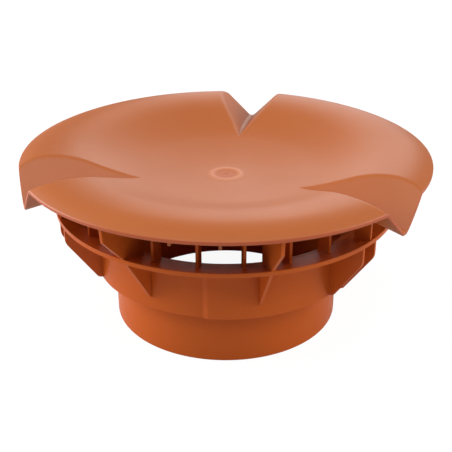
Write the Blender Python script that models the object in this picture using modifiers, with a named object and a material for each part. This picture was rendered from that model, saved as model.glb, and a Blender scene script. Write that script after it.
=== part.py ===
"""Roof vent cap: a louvred base moulding that slips on a round vent pipe, and the lid that covers it.

Metres, +Z up, origin at the middle of the collar's lower end. The base is one moulding: a collar, a wider
body, a flange, the radial slats of the louvre, six tall fins and three keels with a pair of brackets below.
It is parted at the shoulder, so that the collar is a plain ring that a pipe socket can go over.
The lid is a second moulding: a dished disc with three V-shaped rain valleys and six small teeth below.
"""
import bmesh
import bpy
import math

# Base: collar, body and flange
COLLAR_RADIUS = 0.080
COLLAR_HEIGHT = 0.040
COLLAR_EDGE = 0.001
WALL = 0.0025
SHOULDER_WIDTH = 0.013
BODY_RADIUS = COLLAR_RADIUS + SHOULDER_WIDTH
FLANGE_REACH = 0.0253
FLANGE_RADIUS = BODY_RADIUS + FLANGE_REACH
FLANGE_RISE = 0.0475
FLANGE_TOP = COLLAR_HEIGHT + FLANGE_RISE
FLANGE_THICKNESS = 0.003
FLANGE_ANGLE = math.radians(15.4)
NECK_WIDTH = 0.005
NECK_DROP = 0.0024
LIP_BEND = 0.0075
LIP_RADIUS = BODY_RADIUS - WALL + LIP_BEND

# Base: the step in the body at the middle of each sector
STEP_DEPTH = 0.0018
STEP_ANGLE = math.radians(1.9)
STEP_RAMP = math.radians(45.0)

# Base: radial plates
SECTORS = 3
SLAT_PITCH = math.radians(15.0)
SLATS_EACH_SIDE = 3
SLAT_THICKNESS = 0.0018
SLAT_LENGTH = 0.010
SLAT_OUTER_RADIUS = LIP_RADIUS + SLAT_LENGTH
FIN_ANGLE = math.radians(22.5)
FIN_THICKNESS = 0.0022
FIN_FOOT_RISE = 0.0105
FIN_FOOT = COLLAR_HEIGHT + FIN_FOOT_RISE
FIN_TIP_REACH = 0.017
FIN_TIP_RADIUS = FLANGE_RADIUS + FIN_TIP_REACH
FIN_TIP_RISE = 0.0181
FIN_TIP_HEIGHT = FLANGE_TOP + FIN_TIP_RISE
KEEL_THICKNESS = 0.0022
KEEL_LENGTH = 0.0118
BRACKET_ANGLE = math.radians(3.5)
BRACKET_THICKNESS = 0.0022
BRACKET_SHOULDER_DROP = 0.0105
BRACKET_KNEE_DROP = 0.0197
BRACKET_KNEE_INSET = 0.0034
BRACKET_BEND_REACH = 0.0036
BRACKET_BEND_RISE = 0.0023
BRACKET_FOOT_REACH = 0.0015

# Lid
RIM_OVERHANG = 0.0212
RIM_RADIUS = FLANGE_RADIUS + RIM_OVERHANG
LID_WALL = 0.0025
CREST_INSET = 0.0185
CREST_RADIUS = RIM_RADIUS - CREST_INSET
CREST_RISE = 0.03565
CREST_HEIGHT = FLANGE_TOP + CREST_RISE
CREST_BEND_IN = 0.080
CREST_BEND_OUT = 0.040
BANK_ANGLE = math.radians(20.5)
CREASE_INSET = 0.052
CREASE_RADIUS = CREST_RADIUS - CREASE_INSET
BOWL_DEPTH = 0.0081
VALLEY_TIP = 0.007
VALLEY_START = CREASE_RADIUS - VALLEY_TIP
VALLEY_FALL_ANGLE = math.radians(2.862)
VALLEY_SAG = 0.00512
VALLEY_WALL_ANGLE = math.radians(45.0)
VALLEY_FADE = 0.012
VALLEY_EDGE_SOFTNESS = 0.0025
VALLEY_FLOOR_WIDTH = 0.003
TOOTH_ANGLE = math.radians(7.5)
TOOTH_INNER_RADIUS = 0.1115
TOOTH_OUTER_RADIUS = 0.1155
TOOTH_THICKNESS = 0.002
TOOTH_DROP = 0.0189

# Fits and facets
SHOULDER_GAP = 0.0003
LID_GAP = 0.0003
FACET_ALLOWANCE = 0.0003
SLOPE_PROBE = 0.0005
BITE = 0.0012
TURN_STEPS = 72
BEND_STEPS = 3
LID_RINGS_BOWL = 4
LID_RINGS_BANK = 4
LID_RINGS_CREST = 3
LID_SPOKES = 3
LEAST_FADE = 0.05
LEAST_VALLEY_ANGLE = math.radians(1.5)
SPOKES_OVER_VALLEY = (0.0, 0.12, 0.5, 0.9, 1.12, 1.37)

TERRACOTTA = (0.50, 0.13, 0.045)


def clear_scene():
    """Remove every object that the scene starts with."""
    for old in list(bpy.data.objects):
        bpy.data.objects.remove(old, do_unlink=True)


def make_material(name, colour, roughness):
    """A glossy moulded plastic."""
    material = bpy.data.materials.new(name)
    material.use_nodes = True
    shader = material.node_tree.nodes["Principled BSDF"]
    shader.inputs["Base Color"].default_value = (*colour, 1.0)
    shader.inputs["Roughness"].default_value = roughness
    shader.inputs["Metallic"].default_value = 0.0
    return material


def evaluated_mesh(thing):
    """The mesh of an object with its modifiers applied and its doubles welded."""
    graph = bpy.context.evaluated_depsgraph_get()
    mesh = bpy.data.meshes.new_from_object(thing.evaluated_get(graph))
    shape = bmesh.new()
    shape.from_mesh(mesh)
    bmesh.ops.remove_doubles(shape, verts=shape.verts, dist=1e-6)
    shape.to_mesh(mesh)
    shape.free()
    return mesh


def put_in(collection, name, mesh):
    """Add an object with this mesh to a collection."""
    thing = bpy.data.objects.new(name, mesh)
    collection.objects.link(thing)
    return thing


def swap_for_mesh(thing, collection):
    """Replace an object by a plain mesh object of the same name, with its place in the mesh."""
    name = thing.name
    mesh = evaluated_mesh(thing)
    mesh.transform(thing.matrix_world)
    bpy.data.objects.remove(thing, do_unlink=True)
    return put_in(collection, name, mesh)


# Lid surface

def dish_height(radius):
    """Height of the lid's upper side away from the valleys, as a function of the radius.

    From the crest it bends down to the rim on one arc and down inwards on another, then runs straight at
    the bank's angle to the crease, and inside the crease it is a shallow parabola.
    """
    bank_top_radius = CREST_RADIUS - CREST_BEND_IN * math.sin(BANK_ANGLE)
    bank_top_height = CREST_HEIGHT - CREST_BEND_IN * (1.0 - math.cos(BANK_ANGLE))
    crease_height = bank_top_height - (bank_top_radius - CREASE_RADIUS) * math.tan(BANK_ANGLE)
    if radius >= bank_top_radius:
        bend = CREST_BEND_OUT if radius > CREST_RADIUS else CREST_BEND_IN
        away = radius - CREST_RADIUS
        return CREST_HEIGHT - bend + math.sqrt(bend * bend - away * away)
    if radius >= CREASE_RADIUS:
        return bank_top_height - (bank_top_radius - radius) * math.tan(BANK_ANGLE)
    return crease_height - BOWL_DEPTH * (1.0 - (radius / CREASE_RADIUS) ** 2)


def valley_floor(along):
    """Height of a valley's floor at a distance along its axis: level with the dish where it starts.

    From there it falls at a steady angle and sags besides, by the whole sag at the rim.
    """
    past = along - VALLEY_START
    share = past / (RIM_RADIUS - VALLEY_START)
    return dish_height(VALLEY_START) - past * math.tan(VALLEY_FALL_ANGLE) - VALLEY_SAG * share * share


def valley_wall(along, aside):
    """Height of the V at a distance aside of its axis: a short flat floor, then the sloping wall."""
    rise = math.hypot(aside, VALLEY_FLOOR_WIDTH / 3.0) - VALLEY_FLOOR_WIDTH / 3.0
    return valley_floor(along) + rise * math.tan(VALLEY_WALL_ANGLE)


def soft_lower(first, second, softness):
    """The lower of two heights, with the corner between them rounded."""
    share = min(max(0.5 + 0.5 * (second - first) / softness, 0.0), 1.0)
    return second * (1.0 - share) + first * share - softness * share * (1.0 - share)


def lid_height(radius, turn_from_valley):
    """Height of the lid's upper side at a radius and an angle from the nearest valley's axis."""
    along = radius * math.cos(turn_from_valley)
    aside = radius * math.sin(turn_from_valley)
    softness = VALLEY_EDGE_SOFTNESS * min(max((radius - VALLEY_START) / VALLEY_FADE, LEAST_FADE), 1.0)
    return soft_lower(dish_height(radius), valley_wall(along, aside), softness)


def valley_half_angle(radius):
    """Angle from the axis at which the V's wall meets the dish, found by halving."""
    near = 0.0
    far = math.pi / SECTORS
    for _ in range(40):
        middle = 0.5 * (near + far)
        wall = valley_wall(radius * math.cos(middle), radius * math.sin(middle))
        if wall < dish_height(radius):
            near = middle
        else:
            far = middle
    return near


def valley_direction(index):
    """Bearing of a valley, measured from -Y towards +X."""
    return (index + 0.5) * 2.0 * math.pi / SECTORS


def under_lid(radius, turn_from_valley):
    """Height just clear of the lid's underside, which lies one wall below along the slope's normal."""
    step = SLOPE_PROBE
    rise = lid_height(radius + step, turn_from_valley) - lid_height(radius - step, turn_from_valley)
    side = lid_height(radius, turn_from_valley + step / radius) - lid_height(radius, turn_from_valley)
    lean = math.sqrt(1.0 + (rise / (2.0 * step)) ** 2 + (side / step) ** 2)
    return lid_height(radius, turn_from_valley) - LID_WALL * lean - LID_GAP - FACET_ALLOWANCE


def under_valley(radius):
    """Height just clear of the lid's underside along a valley's axis, below the V's sloping walls."""
    return valley_floor(radius) - LID_WALL / math.cos(VALLEY_WALL_ANGLE) - LID_GAP


# Lid

def lid_ring_radii():
    """Radii of the lid's rings, from the middle out to the rim."""
    bank_top = CREST_RADIUS - CREST_BEND_IN * math.sin(BANK_ANGLE)
    bowl = [VALLEY_START * (i + 1) / LID_RINGS_BOWL for i in range(LID_RINGS_BOWL)]
    bank = [VALLEY_START + (bank_top - VALLEY_START) * (i + 1) / LID_RINGS_BANK for i in range(LID_RINGS_BANK)]
    steps = [(i + 1) / LID_RINGS_CREST for i in range(LID_RINGS_CREST)]
    crest = [bank_top + (CREST_RADIUS - bank_top) * step for step in steps]
    crest += [CREST_RADIUS + (RIM_RADIUS - CREST_RADIUS) * step for step in steps]
    bank[0] = CREASE_RADIUS
    return bowl + bank + crest


def lid_turns(radius):
    """Angles from a valley's axis of the lid's spokes on one side of it: over the V, then the dish."""
    edge = max(valley_half_angle(radius), LEAST_VALLEY_ANGLE)
    half = 0.5 * math.pi / SECTORS
    over_valley = [share * edge for share in SPOKES_OVER_VALLEY]
    near = [over_valley[-1] + (half - over_valley[-1]) * (i + 1) / LID_SPOKES for i in range(LID_SPOKES)]
    far = [half + half * (i + 1) / LID_SPOKES for i in range(LID_SPOKES)]
    return over_valley + near + far


def lid_spokes(radius):
    """Bearing and angle from the nearest valley of every spoke, once round the lid."""
    half = lid_turns(radius)
    spokes = []
    for index in range(SECTORS):
        centre = valley_direction(index)
        spokes += [(centre + turn, turn) for turn in half[:-1]]
        spokes += [(centre + 2.0 * math.pi / SECTORS - turn, turn) for turn in reversed(half[1:])]
    return spokes


def make_lid_sheet(collection):
    """The lid's upper side as an open sheet: rings of spokes around one middle point."""
    sheet = bmesh.new()
    middle = sheet.verts.new((0.0, 0.0, dish_height(0.0)))
    rings = []
    for radius in lid_ring_radii():
        ring = [sheet.verts.new((radius * math.sin(bearing), -radius * math.cos(bearing),
                                 lid_height(radius, turn))) for bearing, turn in lid_spokes(radius)]
        rings.append(ring)
    count = len(rings[0])
    for i in range(count):
        j = (i + 1) % count
        sheet.faces.new((middle, rings[0][i], rings[0][j]))
        for inner, outer in zip(rings, rings[1:]):
            sheet.faces.new((inner[i], outer[i], outer[j], inner[j]))
    bmesh.ops.recalc_face_normals(sheet, faces=sheet.faces)
    sheet.normal_update()
    if sum(face.normal.z for face in sheet.faces) < 0.0:
        bmesh.ops.reverse_faces(sheet, faces=sheet.faces)
    mesh = bpy.data.meshes.new("cap_lid")
    sheet.to_mesh(mesh)
    sheet.free()
    return put_in(collection, "cap_lid", mesh)


def make_lid(collection, cutters):
    """The lid: the sheet thickened downwards, with the teeth joined on below."""
    lid = make_lid_sheet(collection)
    wall = lid.modifiers.new("Wall", "SOLIDIFY")
    wall.thickness = LID_WALL
    wall.offset = -1.0
    wall.use_even_offset = True
    lid = swap_for_mesh(lid, collection)
    for index in range(SECTORS):
        for side in (-1, 1):
            bearing = index * 2.0 * math.pi / SECTORS + side * TOOTH_ANGLE
            top = dish_height(TOOTH_INNER_RADIUS) - 0.5 * LID_WALL
            foot = dish_height(TOOTH_INNER_RADIUS) - LID_WALL - TOOTH_DROP
            outline = [(TOOTH_INNER_RADIUS, foot), (TOOTH_OUTER_RADIUS, foot),
                       (TOOTH_OUTER_RADIUS, top), (TOOTH_INNER_RADIUS, top)]
            tooth = make_plate(cutters, "tooth", outline, bearing, TOOTH_THICKNESS)
            lid = join(lid, tooth, collection)
    return lid


# Base

def flange_under_height(radius):
    """Height of the flange's underside, which falls towards the middle."""
    return FLANGE_TOP - FLANGE_THICKNESS - (FLANGE_RADIUS - radius) * math.tan(FLANGE_ANGLE)


def flange_top_height(radius):
    """Height of the flange's upper side, parallel with the underside."""
    return flange_under_height(radius) + FLANGE_THICKNESS


def collar_profile():
    """Half section of the collar, down the outer side and up the bore."""
    return [(COLLAR_RADIUS, COLLAR_HEIGHT),
            (COLLAR_RADIUS, COLLAR_EDGE),
            (COLLAR_RADIUS - COLLAR_EDGE, 0.0),
            (COLLAR_RADIUS - WALL, 0.0),
            (COLLAR_RADIUS - WALL, COLLAR_HEIGHT)]


def neck_under():
    """Radius and height at which the flange's underside bends down into the body."""
    radius = BODY_RADIUS + NECK_WIDTH
    return radius, flange_under_height(radius)


def body_top():
    """Height at which the body's outer side ends below the neck."""
    return neck_under()[1] - NECK_DROP


def base_profile():
    """Half section of the shoulder, body and flange, down the outer side and up the bore.

    The shoulder is let in round the collar's upper end, so its face starts clear of the collar.
    """
    bore = BODY_RADIUS - WALL
    outside = [(FLANGE_RADIUS, FLANGE_TOP),
               (FLANGE_RADIUS, FLANGE_TOP - FLANGE_THICKNESS),
               neck_under(),
               (BODY_RADIUS, body_top()),
               (BODY_RADIUS, COLLAR_HEIGHT)]
    inside = [(COLLAR_RADIUS + SHOULDER_GAP, COLLAR_HEIGHT),
              (COLLAR_RADIUS + SHOULDER_GAP, COLLAR_HEIGHT + SHOULDER_GAP),
              (COLLAR_RADIUS - WALL, COLLAR_HEIGHT + SHOULDER_GAP),
              (COLLAR_RADIUS - WALL, COLLAR_HEIGHT + WALL),
              (bore, COLLAR_HEIGHT + WALL)]
    lip_height = flange_top_height(LIP_RADIUS)
    bend = [(bore + LIP_BEND * (1.0 - math.cos(a)), lip_height - LIP_BEND * (1.0 - math.sin(a)))
            for a in [i * 0.5 * math.pi / BEND_STEPS for i in range(BEND_STEPS + 1)]]
    return outside + inside + bend


def step_inset(bearing):
    """How far the body lies inside its full radius: a ramp that ends in a step at each sector's middle."""
    sector = 2.0 * math.pi / SECTORS
    turn = (bearing + 0.5 * sector) % sector - 0.5 * sector
    if -STEP_RAMP < turn < 0.5 * STEP_ANGLE:
        return STEP_DEPTH * min(1.0 + turn / STEP_RAMP, 1.0)
    return 0.0


def make_turned(collection, name, points):
    """A closed half section of radius and height, turned once round the Z axis."""
    outline = bpy.data.meshes.new(name)
    edges = [(i, (i + 1) % len(points)) for i in range(len(points))]
    outline.from_pydata([(radius, 0.0, height) for radius, height in points], edges, [])
    turned = put_in(collection, name, outline)
    turn = turned.modifiers.new("Turn", "SCREW")
    turn.axis = "Z"
    turn.steps = TURN_STEPS
    turn.render_steps = TURN_STEPS
    turn.use_merge_vertices = True
    turn.merge_threshold = 1e-6
    return swap_for_mesh(turned, collection)


def make_shell(collection):
    """Shoulder, body and flange, turned as one profile, with the three steps pressed into the body."""
    shell = make_turned(collection, "vent_base", base_profile())
    press_steps(shell.data)
    return shell


def press_steps(mesh):
    """Move the spoke after each sector's middle next to it, and the body wall inwards along the ramp."""
    sector = 2.0 * math.pi / SECTORS
    spoke = 2.0 * math.pi / TURN_STEPS
    for vertex in mesh.vertices:
        radius = math.hypot(vertex.co.x, vertex.co.y)
        bearing = math.atan2(vertex.co.x, -vertex.co.y)
        turn = (bearing + 0.5 * sector) % sector - 0.5 * sector
        if abs(turn - spoke) < 0.1 * spoke:
            bearing += STEP_ANGLE - spoke
        in_body = COLLAR_HEIGHT - 1e-6 < vertex.co.z < body_top() + 1e-6
        if in_body and radius > BODY_RADIUS - WALL - 1e-6:
            radius -= step_inset(bearing)
        vertex.co.x = radius * math.sin(bearing)
        vertex.co.y = -radius * math.cos(bearing)


def make_plate(collection, name, outline, bearing, thickness):
    """A flat radial plate: an outline of radius and height, filled, thickened and turned to its bearing."""
    curve = bpy.data.curves.new(name, "CURVE")
    curve.dimensions = "2D"
    curve.fill_mode = "BOTH"
    curve.extrude = 0.5 * thickness
    spline = curve.splines.new("POLY")
    spline.points.add(len(outline) - 1)
    for point, (radius, height) in zip(spline.points, outline):
        point.co = (radius, height, 0.0, 1.0)
    spline.use_cyclic_u = True
    plate = put_in(collection, name, curve)
    plate.rotation_euler = (0.5 * math.pi, 0.0, bearing - 0.5 * math.pi)
    bpy.context.view_layer.update()
    return swap_for_mesh(plate, collection)


def join(body, piece, collection):
    """Union of two closed meshes, as one object with the first one's name."""
    union = body.modifiers.new("Join", "BOOLEAN")
    union.operation = "UNION"
    union.object = piece
    bpy.context.view_layer.update()
    body = swap_for_mesh(body, collection)
    bpy.data.objects.remove(piece, do_unlink=True)
    return body


def lid_line(inner_radius, outer_radius, turn_from_valley, count):
    """Points just below the lid, from the outer radius in to the inner one."""
    radii = [outer_radius + (inner_radius - outer_radius) * i / count for i in range(count + 1)]
    return [(radius, under_lid(radius, turn_from_valley)) for radius in radii]


def slat_outline(turn_from_valley):
    """A louvre slat: from inside the flange up to the lid, over the inner part of the flange."""
    inner = LIP_RADIUS
    foot = 0.5 * FLANGE_THICKNESS
    return [(inner, flange_top_height(inner) - foot),
            (SLAT_OUTER_RADIUS, flange_top_height(SLAT_OUTER_RADIUS) - foot),
            *lid_line(inner, SLAT_OUTER_RADIUS, turn_from_valley, 2)]


def fin_outline():
    """A tall fin: root in the body, a sloping edge to the flange's rim, out below the lid, and in again."""
    turn = math.pi / SECTORS - FIN_ANGLE
    foot = 0.5 * FLANGE_THICKNESS
    root = BODY_RADIUS - BITE
    return [(root, FIN_FOOT - 2.0 * BITE),
            (BODY_RADIUS + BITE, FIN_FOOT),
            (FLANGE_RADIUS, FLANGE_TOP),
            (FIN_TIP_RADIUS, FIN_TIP_HEIGHT),
            *lid_line(LIP_RADIUS, FIN_TIP_RADIUS + BITE, turn, 6),
            (LIP_RADIUS, flange_top_height(LIP_RADIUS) - foot),
            (root, body_top() - BITE)]


def keel_outline():
    """The plate below a valley's floor, standing on the flange."""
    foot = 0.5 * FLANGE_THICKNESS
    outer = FLANGE_RADIUS - foot
    inner = outer - KEEL_LENGTH
    return [(inner, flange_top_height(inner) - foot),
            (outer, FLANGE_TOP - foot),
            (outer, under_valley(outer)),
            (inner, under_valley(inner))]


def bracket_outline():
    """A bracket below the flange: upright outside, rounded at its shoulder, then in to the body's edge."""
    foot = 0.5 * FLANGE_THICKNESS
    outer = FLANGE_RADIUS - foot
    root = BODY_RADIUS - BITE
    low = COLLAR_HEIGHT + 0.5 * WALL
    neck_radius, neck_height = neck_under()
    shoulder = (outer, FLANGE_TOP - BRACKET_SHOULDER_DROP)
    knee = (outer - BRACKET_KNEE_INSET, FLANGE_TOP - BRACKET_KNEE_DROP)
    corner = (outer, 0.5 * (shoulder[1] + knee[1]))
    rounding = [quadratic(shoulder, corner, knee, i / BEND_STEPS) for i in range(BEND_STEPS + 1)]
    return [(outer, FLANGE_TOP - foot),
            *rounding,
            (BODY_RADIUS + BRACKET_BEND_REACH, COLLAR_HEIGHT + BRACKET_BEND_RISE),
            (BODY_RADIUS + BRACKET_FOOT_REACH, low),
            (root, low),
            (root, body_top() - BITE),
            (neck_radius, neck_height + foot)]


def quadratic(start, pull, end, share):
    """A point on the curve from start to end that is drawn towards a third point."""
    rest = 1.0 - share
    return tuple(rest * rest * a + 2.0 * rest * share * b + share * share * c
                 for a, b, c in zip(start, pull, end))


def make_base(collection, cutters):
    """The base moulding: the turned shell with every plate joined on."""
    base = make_shell(collection)
    sector = 2.0 * math.pi / SECTORS
    for index in range(SECTORS):
        middle = index * sector
        for step in range(-SLATS_EACH_SIDE, SLATS_EACH_SIDE + 1):
            turn = step * SLAT_PITCH
            outline = slat_outline(0.5 * sector - abs(turn))
            slat = make_plate(cutters, "slat", outline, middle + turn, SLAT_THICKNESS)
            base = join(base, slat, collection)
        for side in (-1, 1):
            fin = make_plate(cutters, "fin", fin_outline(), middle + side * FIN_ANGLE, FIN_THICKNESS)
            base = join(base, fin, collection)
        valley = valley_direction(index)
        keel = make_plate(cutters, "keel", keel_outline(), valley, KEEL_THICKNESS)
        base = join(base, keel, collection)
        for side in (-1, 1):
            bearing = valley + side * BRACKET_ANGLE
            bracket = make_plate(cutters, "bracket", bracket_outline(), bearing, BRACKET_THICKNESS)
            base = join(base, bracket, collection)
    return base


def finish(thing, material):
    """Give a moulding its material and smooth shading with sharp corners."""
    thing.data.materials.clear()
    thing.data.materials.append(material)
    thing.data.shade_smooth()
    thing.data.set_sharp_from_angle(angle=math.radians(30.0))


def main():
    clear_scene()
    parts = bpy.data.collections.new("roof_vent_cap")
    cutters = bpy.data.collections.new("joined_plates")
    for collection in (parts, cutters):
        bpy.context.scene.collection.children.link(collection)
    finish(make_turned(parts, "collar", collar_profile()), make_material("collar_plastic", TERRACOTTA, 0.32))
    finish(make_base(parts, cutters), make_material("base_plastic", TERRACOTTA, 0.32))
    finish(make_lid(parts, cutters), make_material("lid_plastic", TERRACOTTA, 0.36))


main()
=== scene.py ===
"""Roof vent cap in terracotta plastic: the louvred base moulding and its dished lid, on a pale studio floor.

Metres, +Z up, origin at the middle of the collar's lower end. Bearings are measured from -Y towards +X.
Every surface is a grid of points worked out with numpy. The base is one moulding, so one piece stands for
both CAD nodes that it was parted into, and the lid is the other piece.
"""
import math

import bpy
import numpy as np
from bpy.props import FloatProperty, FloatVectorProperty, PointerProperty
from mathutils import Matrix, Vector


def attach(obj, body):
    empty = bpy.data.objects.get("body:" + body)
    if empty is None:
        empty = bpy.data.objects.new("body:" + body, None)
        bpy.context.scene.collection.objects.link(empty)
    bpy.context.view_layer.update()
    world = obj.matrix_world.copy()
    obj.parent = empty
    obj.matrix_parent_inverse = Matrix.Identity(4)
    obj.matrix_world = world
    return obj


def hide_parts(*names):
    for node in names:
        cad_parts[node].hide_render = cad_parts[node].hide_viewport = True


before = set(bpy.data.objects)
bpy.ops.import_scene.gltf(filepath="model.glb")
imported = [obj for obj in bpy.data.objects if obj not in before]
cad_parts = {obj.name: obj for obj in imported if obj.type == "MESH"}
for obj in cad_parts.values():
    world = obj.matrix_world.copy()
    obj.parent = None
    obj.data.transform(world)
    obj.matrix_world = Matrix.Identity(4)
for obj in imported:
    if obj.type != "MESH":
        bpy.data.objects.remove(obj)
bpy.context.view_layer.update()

bl_info = {
    "name": "Roof vent cap",
    "version": (1, 0, 0),
    "blender": (4, 5, 0),
    "location": "3D View > Sidebar > Vent cap",
    "description": "Builds a louvred roof vent cap with its lid, and a plain stage for it",
    "category": "Object",
}

SECTORS = 3
SECTOR = 2.0 * math.pi / SECTORS

# Plates: how deep they sit in the shell, the gap to the lid above them, and the rounding of their corners
SLATS_EACH_SIDE = 3
BITE = 0.0012
LID_GAP = 0.0003
BURIED_ROUNDING = 0.0002
PLATE_CORNER = 0.0006
BLUNT_CORNER = 0.0008
SLAT_BEND = 0.0004
TOOTH_EDGE = 0.0004
FLANGE_CORNER = 0.0004

# Limits that keep a sharp mitre and a normal of no length harmless
LEAST_MITRE = 0.5
LEAST_LENGTH = 1e-20

# Points and steps of rounded corners and edges
PLATE_EDGE_POINTS = 4
SMALL_ARC_STEPS = 3
TOOTH_ARC_STEPS = 4
SHELL_ARC_STEPS = 6
BRACKET_ARC_STEPS = 8
RIM_ARC_POINTS = 7

# Rows of the lid's grid, as stretches of (from radius, to radius, count). The stretches that touch the rim
# are added by lid_shell.
MIDDLE_RADIUS = 2e-4
LID_TOP_ROWS = ((MIDDLE_RADIUS, 0.002, 9), (0.002, 0.0085, 4), (0.0085, 0.0115, 12), (0.0115, 0.060, 14),
                (0.060, 0.076, 18), (0.076, 0.116, 20), (0.116, 0.128, 8))
LID_RIM_ROWS = 7
LID_LOW_FIRST_ROWS = 26
LID_LOW_ROWS = ((0.076, 0.060, 12), (0.060, MIDDLE_RADIUS, 9))

# Columns of the lid's grid over half a sector, from a valley's axis to the sector's middle. They crowd by
# this share or reach at both sides of the floor's edge and of the upper edge.
LID_COLUMNS = (3, 6, 7, 8, 5, 15)
HALVINGS = 30
LEAST_RADIUS = 1e-4
LEAST_VALLEY_REACH = 0.0045
WIDEST_VALLEY_ANGLE = math.radians(20.0)
WIDEST_FLOOR_ANGLE = math.radians(8.0)
LEAST_FLOOR_SHARE = 0.25
COLUMN_CROWDING = 0.35
SOFT_REACH = 0.003

# The lid's surface: the step for its slope, how much of the outer bend's radius its arc may use, the least
# softness of a valley's edge, that edge on the underside, and the nib in the gate's dimple
SLOPE_PROBE = 1e-4
BEND_LIMIT = 0.9
LEAST_FADE = 0.05
UNDERSIDE_EDGE_SHARE = 0.4
NIB_HEIGHT_SHARE = 0.6
NIB_RADIUS_SHARE = 0.35

# Columns of the base shell in one sector, in degrees from its middle: fine over the step, then coarse
STEP_COLUMNS = (-0.9, 2.8, 16)
SECTOR_COLUMNS = (2.8, 119.1, 116)

# Where the body's ramps fade out, at the shoulder and at the flange
SHOULDER_CLEAR = 0.002
SHOULDER_SLACK = 0.001
NECK_FADE = 0.003

# Pigment, gloss and marks of the plastic, and the painted shade on the lid's rim edge
CLOUD_SCALE, CLOUD_DETAIL, CLOUD_DENSITY, CLOUD_DULLNESS = 16.0, 3.0, 1.2, 0.07
FLECK_SCALE, FLECK_DETAIL, FLECK_DENSITY, FLECK_DULLNESS = 700.0, 2.0, 0.4, 0.03
GRAIN_DETAIL, GRAIN_STRENGTH = 2.0, 0.35
DENSITY_DROP = 0.3
DULLNESS_DROP = 0.05
RING_BLUR, RING_BLUSH = 0.0034, 0.9
BLUSH_REACH, BLUSH_STRENGTH = 0.024, 0.2
DISC_SHARE, DISC_CRISPNESS, DISC_STRENGTH = 0.85, 4.0, 0.8
# Painted shade: the lid's rounded rim edge is drawn in a darker colour, standing in for a dark reflection
RIM_SHADE_BLUR, RIM_SHADE_STRENGTH = 0.0002, 0.85
PLASTIC_IOR = 1.47

# Stage
FLOOR_CORNERS = 96
FLOOR_ROUGHNESS, FLOOR_PATCHES, FLOOR_SPECULAR = 0.85, 0.1, 0.2
FLOOR_CLOUD_SCALE, FLOOR_CLOUD_DETAIL = 3.0, 2.0
FLOOR_GLOW, FLOOR_GLOW_SHARE = 1.1, 0.85
SENSOR_WIDTH = 36.0
NEAREST, FARTHEST = 0.01, 50.0


def length(name, description, default):
    """A size in metres."""
    return FloatProperty(name=name, description=description, default=default, unit="LENGTH", precision=5)


def angle(name, description, degrees):
    """An angle, given in degrees and kept in radians."""
    return FloatProperty(name=name, description=description, default=math.radians(degrees), subtype="ANGLE")


def number(name, description, default):
    """A plain number."""
    return FloatProperty(name=name, description=description, default=default, precision=4)


def colour(name, description, default):
    """A linear colour."""
    return FloatVectorProperty(name=name, description=description, default=default, subtype="COLOR",
                               size=3, min=0.0, max=1.0)


class LidSizes(bpy.types.PropertyGroup):
    """Sizes of the lid."""
    rim_radius: length("Rim radius", "Outer radius of the lid", 0.1395)
    wall: length("Wall", "Thickness of the lid's wall", 0.0024)
    rim_edge: length("Rim edge", "Rounding of the rim's upper edge", 0.0005)
    rim_foot: length("Rim foot", "Rounding of the rim's lower edge", 0.0010)
    crest_radius: length("Crest radius", "Radius of the lid's highest circle", 0.121)
    crest_height: length("Crest height", "Height of the lid's highest circle", 0.12315)
    bend_in: length("Inner bend", "Radius of the arc from the crest down to the bank", 0.080)
    bend_out: length("Outer bend", "Radius of the arc from the crest down to the rim", 0.040)
    bank_angle: angle("Bank angle", "Slope of the straight bank inside the crest", 20.5)
    crease_radius: length("Crease radius", "Where the bank meets the bowl", 0.069)
    crease_softness: length("Crease softness", "How far the crease is rounded", 0.0016)
    bowl_depth: length("Bowl depth", "Depth of the shallow bowl inside the crease", 0.0081)
    valley_start: length("Valley start", "Radius at which a rain valley starts", 0.062)
    valley_fall: number("Valley fall", "Slope of a valley's floor where it starts", 0.050)
    valley_sag: number("Valley sag", "How fast that slope grows, per metre", 0.853)
    valley_floor: length("Valley floor", "Half width of a valley's flat floor", 0.0015)
    valley_lift: length("Valley lift", "Height of the full flat floor over the valley's line", 0.0005)
    valley_growth: length("Valley growth", "Stretch over which the floor widens from its pointed tip", 0.030)
    valley_fade: length("Valley fade", "Stretch over which the valley's upper edges become round", 0.012)
    valley_crisp: length("Floor edge", "Rounding between a valley's floor and its walls", 0.0005)
    valley_edge: length("Valley edge", "Rounding of a valley's upper edges", 0.0022)
    ring_radius: length("Ring radius", "Middle of the raised ring at the centre", 0.0100)
    ring_width: length("Ring width", "Half width of that ring", 0.0019)
    ring_height: length("Ring height", "Height of that ring", 0.00045)
    gate_radius: length("Gate radius", "Radius of the moulding gate's dimple", 0.0014)
    gate_depth: length("Gate depth", "Depth of that dimple", 0.0003)
    tooth_angle: angle("Tooth angle", "Bearing of a tooth from its sector's middle", 7.5)
    tooth_inner: length("Tooth inner radius", "Inner edge of a tooth", 0.1115)
    tooth_outer: length("Tooth outer radius", "Outer edge of a tooth", 0.1155)
    tooth_drop: length("Tooth drop", "How far a tooth reaches below the lid", 0.0189)
    tooth_thickness: length("Tooth thickness", "Thickness of a tooth", 0.0020)


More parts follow.
